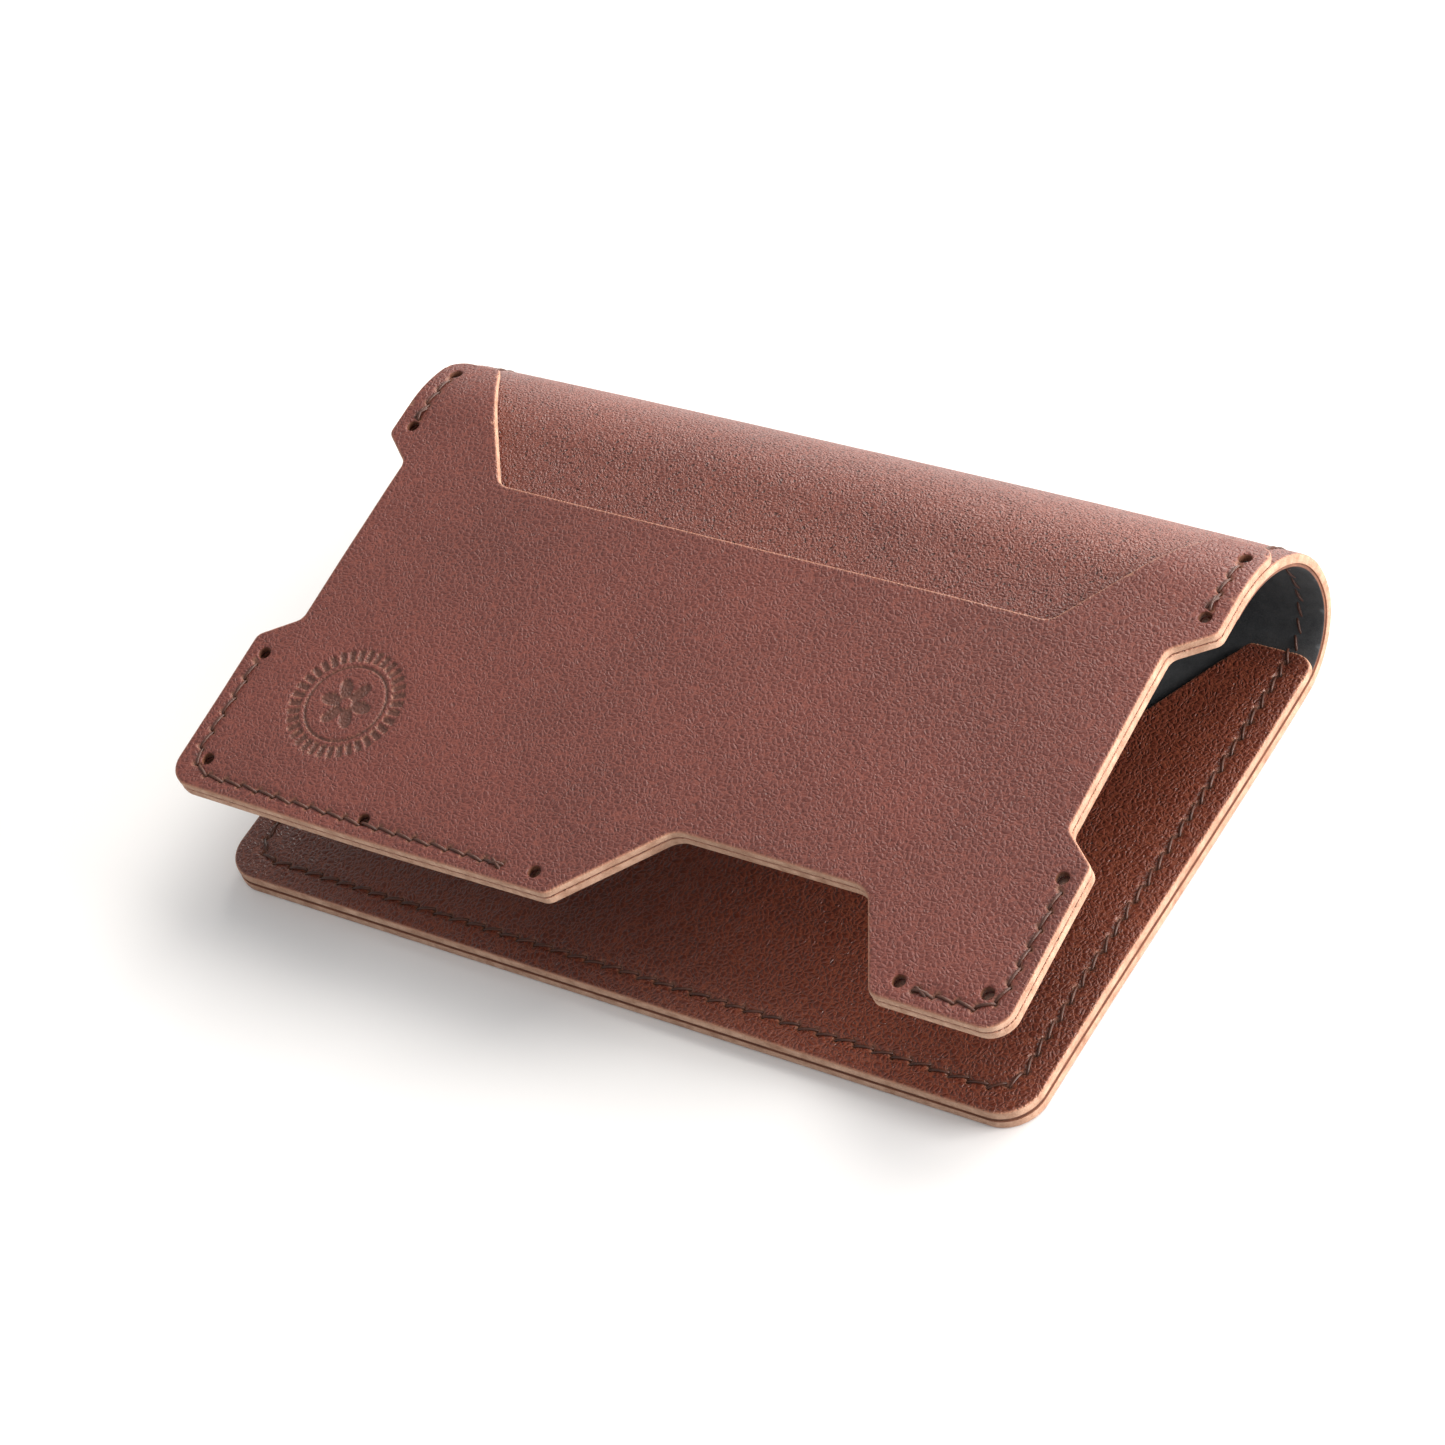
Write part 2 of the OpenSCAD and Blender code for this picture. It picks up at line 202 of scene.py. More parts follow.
def tiles(points):
    """Index arrays that share the points out over squares of the table, with each square's corners."""
    square = np.floor(points / TILE).astype(int)
    order = np.lexsort(square.T)
    starts = np.flatnonzero(np.any(np.diff(square[order], axis=0), axis=1)) + 1
    return [(pick, square[pick[0]] * TILE, (square[pick[0]] + 1) * TILE)
            for pick in np.split(order, starts) if len(pick)]


def reach(points, a, b):
    """The shortest way from each point to any of the straight pieces a to b, or FAR if it is more.
    For a piece of direction r it is |p - a - t r| with t = (p - a) . r / r . r, held in 0 to 1."""
    found = np.full(len(points), FAR)
    low, high = np.minimum(a, b) - FAR, np.maximum(a, b) + FAR
    for pick, corner, opposite in tiles(points):
        near = ((low < opposite) & (high > corner)).all(1)
        if near.any():
            run = (b - a)[near]
            rel = points[pick, None] - a[near]
            t = np.clip((rel * run).sum(2) / ((run ** 2).sum(1) + 1e-12), 0, 1)
            found[pick] = np.minimum(FAR, np.sqrt(((rel - t[..., None] * run) ** 2).sum(2).min(1)))
    return found


def inside(points, a, b):
    """Whether each point has an odd number of sides of the outline to its right."""
    found = np.zeros(len(points), bool)
    for pick, corner, opposite in tiles(points):
        near = (np.minimum(a[:, 1], b[:, 1]) < opposite[1]) & (np.maximum(a[:, 1], b[:, 1]) > corner[1])
        near &= np.maximum(a[:, 0], b[:, 0]) > corner[0]
        f, g = a[near], b[near]
        x, s = points[pick, 0, None], points[pick, 1, None]
        across = (f[:, 1] > s) != (g[:, 1] > s)
        rise = np.where(f[:, 1] == g[:, 1], 1, g[:, 1] - f[:, 1])
        found[pick] = (across & (x < (g[:, 0] - f[:, 0]) * (s - f[:, 1]) / rise + f[:, 0])).sum(1) % 2 == 1
    return found


# %% Loose points inside the outline
def bricks(low, high, step_x, step_s):
    """Points in rows step_s apart, step_x apart in each row, every other row shifted by half."""
    xs, ss = np.arange(low[0], high[0], step_x), np.arange(low[1], high[1], step_s)
    x, s = np.meshgrid(xs, ss)
    return np.stack([x + step_x / 2 * (np.arange(len(ss)) % 2)[:, None], s], axis=-1).reshape(-1, 2)


def both_sides(loop, depth):
    """A loop copied inside and outside itself at this depth, for the rounded rim of a cut."""
    side = unit(np.roll(loop, -1, 0) - np.roll(loop, 1, 0))[:, ::-1] * (1, -1)
    return np.concatenate([loop - side * depth, loop + side * depth])


def band(path, width, step):
    """Points that fill a band of this half width along an open path."""
    a, b = path[:-1], path[1:]
    cloud = bricks(path.min(0) - width, path.max(0) + width, step, step * 0.87)
    return cloud[reach(cloud, a, b) < width]


BEND_STEPS = (1.2, 0.3)
SPLIT_STEP, SPLIT_CLEAR = 0.9, 0.2


def cut_piece(loops, splits, fine=(), coarse=(1.1, 0.95), rim=(0.05, 0.13, 0.26, 0.5)):
    """Triangulates the inside of the loops (the first is the outline, the others holes).
    splits are values of s where the piece is later divided, and fine is a list of (points, mask)
    pairs: dense points, and the test for the coarse points that they take the place of. coarse is
    the spacing of the plain points along x and s (BEND_STEPS on the bend), and rim the depths at
    which the cuts are copied. Returns points, triangles, the way to the nearest cut, the way to the
    outline, and the direction out from the leather on every border."""
    a, b = segments(loops)
    low, high = loops[0].min(0), loops[0].max(0)
    plain = bricks(low, high, *coarse)
    bend = (plain[:, 1] > FRONT - 1) & (plain[:, 1] < S_REAR + 1)
    rows = bricks((low[0], max(low[1], FRONT - 1)), (high[0], min(high[1], S_REAR + 1)), *BEND_STEPS)
    plain = np.concatenate([plain[~bend], rows])
    for cloud, covers in fine:
        plain = plain[~covers(plain)]
    dense = [cloud for cloud, covers in fine]
    loose = np.concatenate([plain] + dense)
    loose = loose[reach(loose, a, b) > max(rim) * 1.25]
    ring = np.concatenate([both_sides(loop, d) for loop in loops for d in rim])
    depth = np.concatenate([np.full(2 * len(loop), d) for loop in loops for d in rim])
    ring = ring[reach(ring, a, b) > depth * 0.93]
    free = np.concatenate([loose, ring])
    free = free[inside(free, a, b)]
    line = np.arange(low[0] - 1, high[0] + 1, SPLIT_STEP)
    cuts = [np.stack([line, np.full_like(line, s)], axis=1) for s in splits]
    near = np.min([abs(free[:, 1] - s) for s in splits], axis=0)
    beside = np.concatenate([c + (0, way) for c in cuts for way in (-0.12, 0.12)])
    beside = beside[inside(beside, a, b) & (reach(beside, a, b) > SPLIT_CLEAR)]
    free = np.concatenate([free[near > SPLIT_CLEAR], beside])
    points, edges = [], []
    for loop in loops:
        k = np.arange(len(loop)) + sum(len(p) for p in points)
        points.append(loop)
        edges.append(np.stack([k, np.roll(k, -1)], axis=1))
    for cut in cuts:
        k = np.arange(len(cut)) + sum(len(p) for p in points)
        points.append(cut)
        edges.append(np.stack([k[:-1], k[1:]], axis=1))
    points = np.concatenate(points + [free])
    found = delaunay_2d_cdt([Vector(p) for p in points], np.concatenate(edges).tolist(), [], 0, 1e-5, False)
    p = np.array([tuple(v) for v in found[0]])
    t = np.array(found[2])
    t = t[inside(p[t].mean(1), a, b)]
    area = np.cross(p[t[:, 1]] - p[t[:, 0]], p[t[:, 2]] - p[t[:, 0]])
    t = np.where(area[:, None] < 0, t[:, ::-1], t)[abs(area) > 1e-9]
    used = np.unique(t)
    t, p = np.searchsorted(used, t), p[used]
    return {"p": p, "t": t, "d": reach(p, a, b), "edge": reach(p, *segments(loops[:1])),
            "out": way_out(p, border(t))}


def border(t):
    """The triangle sides that no other triangle shares, inside to the left."""
    side = np.concatenate([t[:, [0, 1]], t[:, [1, 2]], t[:, [2, 0]]])
    key, back = side[:, 0] * (t.max() + 1) + side[:, 1], side[:, 1] * (t.max() + 1) + side[:, 0]
    return side[~np.isin(key, back)]


def way_out(p, sides):
    """For each point on a border, the unit direction away from the leather; elsewhere nothing."""
    run = p[sides[:, 1]] - p[sides[:, 0]]
    normal = unit(run)[:, ::-1] * (1, -1)
    out = np.zeros_like(p)
    np.add.at(out, sides[:, 0], normal)
    np.add.at(out, sides[:, 1], normal)
    size = np.linalg.norm(out, axis=1, keepdims=True)
    return np.where(size > 0.1, out / np.maximum(size, 0.1), 0)


# %% [markdown]
# ## From a flat cut to a solid piece
# A flat cut gets an outer face, an inner face and a wall round its edge.  The
# faces drop a little where they meet a cut edge, as the knife presses them
# down, and the wall bulges by a few hundredths of a millimetre and wavers, as
# raw fibre does.  Where the bend is divided between two bodies the piece is
# divided too, and both halves use the very same points there.

# %% Solid pieces
WALL_STEPS = 4


def soft_noise(p, size, seed):
    """A smooth wandering value between about -1 and 1, with features of this size (mm): a sum of
    sine waves that run in different directions."""
    total = 0
    for k in range(6):
        turn, phase = seed + 2.4 * k, 1.7 * seed * (k + 1)
        wave = 2 * np.pi / (size * (0.7 + 0.23 * k))
        total = total + np.sin((p[:, 0] * np.cos(turn) + p[:, 1] * np.sin(turn)) * wave + phase)
    return total / 3.5


def rim_drop(d, deep, wide):
    """How far a face falls near a cut edge: a quarter ellipse, deep at the edge, 0 from wide on."""
    t = np.clip(1 - d / wide, 0, 1)
    return deep * (1 - np.sqrt(np.clip(1 - t * t, 0, 1)))


def make_mesh(name, points, faces, materials, which, flat=None, marks=None, sharp=None):
    """A smooth-shaded mesh object from points (mm). which picks each face's material, flat is each
    point's place on the cutting table (mm), marks how pale its rims are (rubbed edges and painted
    highlight) and how hard it is pressed, each 0 to 1, and sharp tests the ends of an edge for a crease."""
    mesh = bpy.data.meshes.new(name)
    mesh.from_pydata((points * MM).tolist(), [], faces)
    for material in materials:
        mesh.materials.append(material)
    mesh.polygons.foreach_set("material_index", np.asarray(which, np.int32))
    mesh.polygons.foreach_set("use_smooth", np.ones(len(faces), bool))
    if flat is not None:
        mesh.attributes.new("flat", "FLOAT_VECTOR", "POINT").data.foreach_set(
            "vector", (flat * MM).astype(np.float32).ravel())
    if marks is not None:
        mesh.attributes.new("marks", "FLOAT_VECTOR", "POINT").data.foreach_set(
            "vector", np.column_stack([marks, 0 * marks[:, 0]]).astype(np.float32).ravel())
    if sharp is not None:
        ends = np.empty(2 * len(mesh.edges), np.int32)
        mesh.edges.foreach_get("vertices", ends)
        mesh.attributes.new("sharp_edge", "BOOLEAN", "EDGE").data.foreach_set(
            "value", sharp(ends.reshape(-1, 2)))
    mesh.update()
    made = bpy.data.objects.new(name, mesh)
    bpy.context.scene.collection.objects.link(made)
    return made


def solid_piece(name, cut, zone, outer, inner, materials, pressed=0, bulge=0.04):
    """Makes the part of a cut whose triangles are in zone, between the heights outer and inner.
    Columns of WALL_STEPS + 1 points stand on the border: the k-th is k / WALL_STEPS of the way from
    the outer to the inner face, pushed out by bulge * sin(pi k / WALL_STEPS) and a little noise.
    materials are those of the outer face, the outline's wall, the inner face and the holes' walls.
    Both faces are paled within about 0.15 mm of the outline, as rubbed edges, and on the rims of
    pressed places, where they are half pressed, as a painted highlight."""
    t = cut["t"][zone]
    used = np.unique(t)
    p, d, out = cut["p"][used], cut["d"][used], cut["out"][used]
    t = np.searchsorted(used, t)
    hi, lo = outer[used], inner[used]
    count, last = len(p), WALL_STEPS
    sides = border(t)
    rim = np.unique(sides)
    k = np.arange(1, last)[:, None]
    fibre = soft_noise(np.stack([p[rim].sum(1), p[rim] @ (1.3, -0.7)], axis=1), 0.9, 3.1)
    push = bulge * np.sin(np.pi * k / last) + 0.018 * fibre * np.cos(1.9 * k + fibre)
    wall = p[rim] + out[rim] * push[..., None]
    wall_n = hi[rim] + (lo[rim] - hi[rim]) * k / last
    xs = np.concatenate([p, p, wall.reshape(-1, 2)])
    n = np.concatenate([hi, lo, wall_n.ravel()])
    column = np.full(count, -1)
    column[rim] = np.arange(len(rim))
    # row k of index tells where the k-th point of each border column is
    between = 2 * count + (k - 1) * len(rim) + np.arange(len(rim))
    index = np.concatenate([rim[None], between, count + rim[None]])
    a, b = column[sides[:, 0]], column[sides[:, 1]]
    quads = np.concatenate([np.stack([index[j, a], index[j + 1, a], index[j + 1, b], index[j, b]], axis=1)
                            for j in range(last)])
    real = (d[sides] < 1e-4).all(1) & (np.linalg.norm(out[sides[:, 0]], axis=1) > 0)
    in_hole = cut["edge"][used][sides[:, 0]] > 0.3
    faces = t.tolist() + (t[:, ::-1] + count).tolist() + quads.tolist()
    wall_finish = np.where(real, np.where(in_hole, len(materials) - 1, 1), 0)
    which = np.concatenate([np.zeros(len(t)), np.full(len(t), 2), np.tile(wall_finish, last)])
    # a crease goes round each flat end where the piece meets its neighbour
    cut_sides = sides[~real]
    on_cut, at_edge = np.zeros(count, bool), np.zeros(count, bool)
    on_cut[cut_sides.ravel()] = True
    at_edge[np.unique(sides[real])] = True
    who = np.concatenate([np.arange(count), np.arange(count), np.tile(rim, last - 1)])
    level = np.concatenate([np.zeros(count), np.full(count, last), np.repeat(np.arange(1, last), len(rim))])

    def crease(e):
        i, j = who[e[:, 0]], who[e[:, 1]]
        face = (level[e[:, 0]] == level[e[:, 1]]) & (level[e[:, 0]] % last == 0)
        return on_cut[i] & on_cut[j] & (face | ((i == j) & at_edge[i]))

    flat = np.column_stack([xs, n])
    press = np.broadcast_to(pressed, len(cut["p"]))[used]
    # Pale rims: rubbed edges along the outline, and a painted highlight on the rims of stamp marks and awl
    # slits.
    wear_and_glint = np.maximum(np.exp(-(cut["edge"][used] / 0.13) ** 2), 1.8 * press * (1 - press))
    marks = np.stack([wear_and_glint, press], axis=1)
    marks = np.concatenate([marks, marks, np.tile(marks[rim], (last - 1, 1))])
    return make_mesh(name, place(xs[:, 0], xs[:, 1], n), faces, materials, which, flat, marks, crease)


# %% [markdown]
# ## The zones of the bend
# The CAD model cuts the bend into five strips on six hinges.  Real leather
# bends evenly, so each visible piece of the bend lies from the middle of one
# strip to the middle of the next, and is not hung on any body.  The two
# straight panels ride on their own bodies.

# %% Zones
STRIP_MIDDLES = [68.33, 41.0, 13.67, -17.5, -52.5]


def s_at(angle):
    """The way s to a point of the bend, from its angle in degrees above the horizontal."""
    a = np.radians(angle)
    return FRONT + TOP_R * (TURN - a) if angle >= 0 else S_MID - LOW_R * a


SPLITS = [FRONT] + [s_at(a) for a in STRIP_MIDDLES] + [S_REAR]
MID_DEPTH = -0.75
print("the bend is divided at s =", ", ".join(f"{s:.1f}" for s in SPLITS))


def join(piece, zone, slot, *nodes):
    """Hangs a piece of zone 0 (front panel) or 7 (rear panel) on its body, and hides the CAD nodes given.
    A piece of the zones between is not hung on a body: its place is only baked into its mesh."""
    if zone == 0:
        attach(piece, "front_panel")
    elif zone == len(SPLITS):
        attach(piece, "rear_panel")
    else:
        start, end = place(0, np.array([SPLITS[zone], SPLITS[zone - 1]]), MID_DEPTH) * MM
        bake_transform(piece)
    if nodes:
        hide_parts(*nodes)


def zone_of(s):
    """0 on the front panel, 1 to 6 on the bend, 7 on the rear panel."""
    return np.searchsorted(SPLITS, s)

# %% [markdown]
# ## Finishes
# The cowhide is vegetable-tanned, dyed reddish brown right through the grain
# side and left raw at the cuts.  Its grain is a fine relief, so most of the
# look comes from bump and roughness and only a little from colour.  Patterns
# read each point's place on the cutting table, in metres, so they run on
# round the bend and stay put when the leather moves.

# %% Node and colour helpers
def shade(code):
    """A linear colour from an sRGB hex code: ((c + 0.055) / 1.055) ^ 2.4, or c / 12.92 when dark."""
    c = np.array([int(code[k:k + 2], 16) / 255 for k in (1, 3, 5)])
    linear = np.where(c <= 0.04045, c / 12.92, ((c + 0.055) / 1.055) ** 2.4)
    return (*linear.tolist(), 1.0)


def add(tree, kind, inputs=(), out=0, **settings):
    """Adds a node, sets its own settings, and sets or links its inputs by name or number. A hex code
    becomes a linear colour. Gives the output socket out, if the node has any."""
    made = tree.nodes.new("ShaderNode" + kind)
    for key, value in settings.items():
        setattr(made, key, value)
    for key, value in dict(inputs).items():
        if isinstance(value, bpy.types.NodeSocket):
            tree.links.new(value, made.inputs[key])
        else:
            made.inputs[key].default_value = shade(value) if isinstance(value, str) else value
    return made.outputs[out] if len(made.outputs) else None


def new_finish(name):
    """An empty material, its node tree, and the piece's flat coordinates in metres."""
    material = bpy.data.materials.new(name)
    material.use_nodes = True
    tree = material.node_tree
    tree.nodes.clear()
    return material, tree, add(tree, "Attribute", out="Vector", attribute_name="flat")


def finish_surface(tree, color, roughness, height, deep, ior):
    """Principled shader with a bump of this real depth in metres, joined to the output."""
    bump = add(tree, "Bump", {"Height": height, "Distance": deep, "Strength": 1.0}, out="Normal")
    surface = add(tree, "BsdfPrincipled", {"Base Color": color, "Roughness": roughness, "Normal": bump,
                                           "IOR": ior}, out="BSDF")
    add(tree, "OutputMaterial", {"Surface": surface})


# %% [markdown]
# ### Grain leather
# All the grain is cells with creases between them.  On the pockets, cut from
# the plain part of the hide, the cells are about 0.6 mm wide, flat, and
# outlined by fine pale creases.  On the cover they are about half a
# millimetre and rounder, with clear hair holes, which shows as the leather
# bends.  The surface is lightly waxed: half-matt, with a soft sheen.

# %% Grain leather
LEATHER_IOR, FIBRE_IOR = 1.5, 1.45


def grain_leather(name, dark, middle, light, cell_mm, flatness, deep, rough, pore):
    """The flat coordinates are shifted by noise, so the cells are uneven. dome is the distance to the
    nearest crease / flatness, held at 1; small is the distance to the middle of cells 0.45 times as
    wide; hair_hole is a pit at the middle of cells 0.75 mm wide. Height = 0.55 dome - 0.45 small
    - pore * hair_hole + 0.45 fine noise + 0.9 slow noise. Colour drifts from dark to middle over
    28 mm, turns dark between small cells, light in creases, and darker in hair holes; it turns darker
    where the stamp is pressed, and in the awl slits as painted shade; rubbed rims turn pale, and the
    rims of pressed places turn pale as a painted highlight."""
    material, tree, flat = new_finish(name)
    bent = flat
    for size, amount in ((2.2, 1.2), (0.5, 0.20)):
        sway = add(tree, "TexNoise", {"Vector": flat, "Scale": 1 / (size * MM), "Detail": 2.0}, out="Color")
        away = add(tree, "VectorMath", {0: sway, 1: (0.5, 0.5, 0.5)}, operation="SUBTRACT")
        bent = add(tree, "VectorMath", {0: away, 1: (amount * MM,) * 3, 2: bent}, operation="MULTIPLY_ADD")
    cells, small, hairs = (
        add(tree, "TexVoronoi", {"Vector": bent, "Scale": 1 / (size * MM)}, out="Distance", feature=feature)
        for size, feature in ((cell_mm, "DISTANCE_TO_EDGE"), (cell_mm * 0.45, "SMOOTH_F1"), (0.75, "F1")))
    dome, hair_hole = (
        add(tree, "MapRange", {"Value": value, "From Min": low, "From Max": high}, out="Result")
        for value, low, high in ((cells, 0.0, flatness), (hairs, 0.24, 0.10)))
    pores, slow, cloud = (
        add(tree, "TexNoise", {"Vector": flat, "Scale": 1 / (size * MM), "Detail": detail,
                               "Roughness": 0.55}, out="Fac")
        for size, detail in ((0.20, 2.0), (7.0, 3.0), (28.0, 4.0)))
    height = add(tree, "Math", {0: pores, 1: 0.45}, operation="MULTIPLY")
    for value, share in ((dome, 0.55), (small, -0.45), (hair_hole, -pore), (slow, 0.9)):
        height = add(tree, "Math", {0: value, 1: share, 2: height}, operation="MULTIPLY_ADD")
    color = dark
    for value, low, high, most, tint in ((cloud, 0.34, 0.66, 1.0, middle), (small, 0.2, 0.6, 0.3, dark),
                                         (dome, 0.40, 0.0, 0.34, light)):
        share = add(tree, "MapRange", {"Value": value, "From Min": low, "From Max": high,
                                       "To Max": most}, out="Result")
        color = add(tree, "Mix", {"Factor": share, 6: color, 7: tint}, out=2, data_type="RGBA")
    marks = add(tree, "Attribute", out="Vector", attribute_name="marks")
    edge_wear_and_glint, stamp_and_slit_shade = (add(tree, "SeparateXYZ", {0: marks}, out=k) for k in (0, 1))
    # Darker in hair holes; darker where pressed, which on the hot stamp is its real darkening and in the awl
    # slits is painted shade; pale on rubbed rims, and on the rims of pressed places as a painted highlight.
    for value, most, tint in ((hair_hole, pore, "#33170F"), (stamp_and_slit_shade, 0.6, "#2E150F"),
                              (edge_wear_and_glint, 0.8, "#B98569")):
        share = add(tree, "Math", {0: value, 1: most}, operation="MULTIPLY")
        color = add(tree, "Mix", {"Factor": share, 6: color, 7: tint}, out=2, data_type="RGBA")
    roughness = add(tree, "Math", {0: dome, 1: -0.08, 2: rough}, operation="MULTIPLY_ADD")
    roughness = add(tree, "Math", {0: slow, 1: 0.16, 2: roughness}, operation="MULTIPLY_ADD")
    finish_surface(tree, color, roughness, height, deep, LEATHER_IOR)
    return material


pocket_leather = grain_leather("waxed_cowhide_creased_grain", "#56261E", "#672F26", "#985443",
                               cell_mm=0.58, flatness=0.30, deep=0.105 * MM, rough=0.45, pore=0.35)
cover_leather = grain_leather("waxed_cowhide_pebbled_grain", "#582820", "#6B3428", "#9A5745",
                              cell_mm=0.48, flatness=0.45, deep=0.22 * MM, rough=0.37, pore=0.8)
rear_leather = grain_leather("waxed_cowhide_dark_grain", "#56261A", "#6A3121", "#A35B3E",
                             cell_mm=0.62, flatness=0.30, deep=0.15 * MM, rough=0.34, pore=0.4)

# %% [markdown]
# ### Raw cuts, flesh side, lining and thread
# A cut edge shows undyed fibre: pale tan, dry and faintly streaked along the
# cut.  The walls of the punched holes are coloured dark brown as painted shade,
# and the lining's thin edge takes the same dark brown.  The flesh side is the
# same fibre, rubbed to a nap and half dyed.  The lining is a dark grey bonded
# sheet with a felt-like face.
# The thread is linen, dark brown, and waxed.

# %% Raw cuts, flesh side, lining and thread
def fibre_finish(name, dark, light, size_mm, rough, deep, stretch=(1, 1, 1)):
    """Colour goes from dark to light with 0.7 fibre + 0.6 patch, both noise: fibre is size_mm wide
    and reads the flat coordinates multiplied by stretch, so fibres may run one way, and patch is
    nine times as wide. fibre is also the height."""
    material, tree, flat = new_finish(name)
    drawn = add(tree, "VectorMath", {0: flat, 1: stretch}, operation="MULTIPLY")
    fibre, patch = (
        add(tree, "TexNoise", {"Vector": where, "Scale": 1 / (size * MM), "Detail": detail,
                               "Roughness": uneven}, out="Fac")
        for where, size, detail, uneven in ((drawn, size_mm, 5.0, 0.7), (flat, size_mm * 9, 3.0, 0.55)))
    share = add(tree, "Math", {0: fibre, 1: 0.7}, operation="MULTIPLY")
    share = add(tree, "Math", {0: patch, 1: 0.6, 2: share}, operation="MULTIPLY_ADD")
    share = add(tree, "MapRange", {"Value": share, "From Min": 0.45, "From Max": 0.85}, out="Result")
    color = add(tree, "Mix", {"Factor": share, 6: dark, 7: light}, out=2, data_type="RGBA")
    finish_surface(tree, color, rough, fibre, deep, FIBRE_IOR)
    return material


raw_cut = fibre_finish("undyed_cowhide_raw_cut", "#8A6049", "#CBA78F", 0.16, 0.85, 0.05 * MM, (1, 1, 3.5))
# Painted shade: this dark brown on the walls of the punched holes stands in for the shade inside them; the
# lining's edge uses it too.
hole_shade_and_dark_edge = fibre_finish("dark_edge_and_painted_hole_shade", "#4A281C", "#7E5039", 0.2, 0.7, 0.03 * MM)
flesh_side = fibre_finish("cowhide_flesh_side", "#6A4030", "#8A5C46", 0.25, 0.9, 0.05 * MM)
lining_felt = fibre_finish("bonded_felt_lining", "#35373A", "#4A4C4E", 0.18, 0.85, 0.04 * MM)
linen_thread = fibre_finish("waxed_linen_thread", "#331D16", "#5A3427", 0.12, 0.38, 0.03 * MM)

# %% [markdown]
# ## Seams
# The holder is saddle-stitched by hand.  A seam is a row of short bars of
# thread: each comes out of one pricked hole, lies slightly askew in a shallow
# groove, and goes down the next.  So a seam is known by the points of its
# holes, at equal steps along its path.  The relief that it presses into the
# leather is worked out from the distances to the path and to the holes.

# %% Seam paths and relief
PITCH = 2.35
EDGE_SEAM, REAR_SEAM = 1.9, 3.0
PUNCH_R = 0.75
EAR_END = FRONT + 9.7 * TOP_R / (TOP_R + POCKET_T)


def seam(corners):
    """The pricked holes along a path of straight runs, about PITCH apart."""
    c = np.array(corners, float)
    gone = np.concatenate([[0], np.cumsum(np.linalg.norm(np.diff(c, axis=0), axis=1))])
    steps = np.linspace(0, gone[-1], int(round(gone[-1] / PITCH)) + 1)
    return np.stack([np.interp(steps, gone, c[:, 0]), np.interp(steps, gone, c[:, 1])], axis=1)


side = HALF_W - EDGE_SEAM
front_seams = {
    "left": seam([(-side, 16.8), (-side, 3.6), (-side + 1.7, EDGE_SEAM), (-8.6, EDGE_SEAM)]),
    "right": seam([(side, 16.8), (side, 3.6), (side - 1.7, EDGE_SEAM), (43.0, EDGE_SEAM)]),
    "ear_left": seam([(-51.7, 53.0), (-51.7, 59.3)]),
    "ear_right": seam([(51.7, 53.0), (51.7, 59.3)])}
side = HALF_W - REAR_SEAM
rear_seam = seam([(-side, 57.5), (-side, S_END - 4.6), (1.6 - side, S_END - REAR_SEAM),
                  (side - 1.6, S_END - REAR_SEAM), (side, S_END - 4.6), (side, 57.5)])
punched = np.array([(way * x, s) for way in (-1, 1) for x, s in
                    ((50.4, 3.8), (51.7, 18.2), (51.7, 51.7), (51.7, 60.5))]
                   + [(-27.6, 2.4), (-4.3, 2.2), (40.9, 2.3)])
print("stitches:", {k: len(v) - 1 for k, v in front_seams.items()}, "rear", len(rear_seam) - 1)


def slits(holes):
    """How near points are to the awl slits, each 0.8 mm long and askew to the seam: exp(-(q / 0.2)^2)."""
    along = unit(np.gradient(holes, axis=0))
    askew = 0.4 * (along * 0.64 + along[:, ::-1] * (-0.77, 0.77))
    return lambda p: np.exp(-(reach(p, holes - askew, holes + askew) / 0.20) ** 2)


def dent(p, holes):
    """Depth (mm) that a seam presses in: 0.10 in a groove 0.45 wide to each side, 0.05 in a trough
    three times as wide, falling off as exp(-(r / width)^2), and 0.3 more in each awl slit."""
    r = reach(p, holes[:-1], holes[1:])
    return 0.10 * np.exp(-(r / 0.45) ** 2) + 0.05 * np.exp(-(r / 1.3) ** 2) + 0.30 * slits(holes)(p)


def seam_band(holes, width=1.1, step=0.2):
    """Dense points round a seam, and the test for the coarse ones they take the place of."""
    return band(holes, width, step), lambda p: reach(p, holes[:-1], holes[1:]) < width + 0.2


# %% [markdown]
# ## The stamp
# A hot stamp has pressed a round mark into the front pocket.  This one is a
# plain pattern: a ring of short bars round a rosette of six petals.  The
# pattern is a depth worked out from the distance r and the angle round its
# middle, with walls a tenth of a millimetre wide, and the leather round it is
# drawn down a little.

# %% Stamp
STAMP = np.array([-38.0, 15.0])
STAMP_R, DISC_R = 7.2, 8.4


def soft_step(value, width=0.1):
    """0 where value is well below zero, 1 where it is well above, over this width (mm)."""
    return ease(value / (2 * width) + 0.5)


def stamp_depth(p):
    """0.2 mm in the bars and petals, 0.05 mm round them."""
    x, s = (p - STAMP).T
    r, angle = np.hypot(x, s), np.arctan2(s, x)
    bars, petals = 36, 6
    across = abs((angle * bars / (2 * np.pi)) % 1 - 0.5) * 2 * np.pi * r / bars
    ring = soft_step(0.33 - across) * soft_step(0.75 - abs(r - 6.35))
    thin = soft_step(0.13 - abs(r - 4.9))
    edge = 1.1 + 2.2 * np.abs(np.cos(petals / 2 * angle))
    flower = soft_step(edge - r) * soft_step(r - 0.75)
    return 0.20 * np.clip(ring + thin + flower, 0, 1) + 0.05 * ease((STAMP_R + 1 - r) / 2)


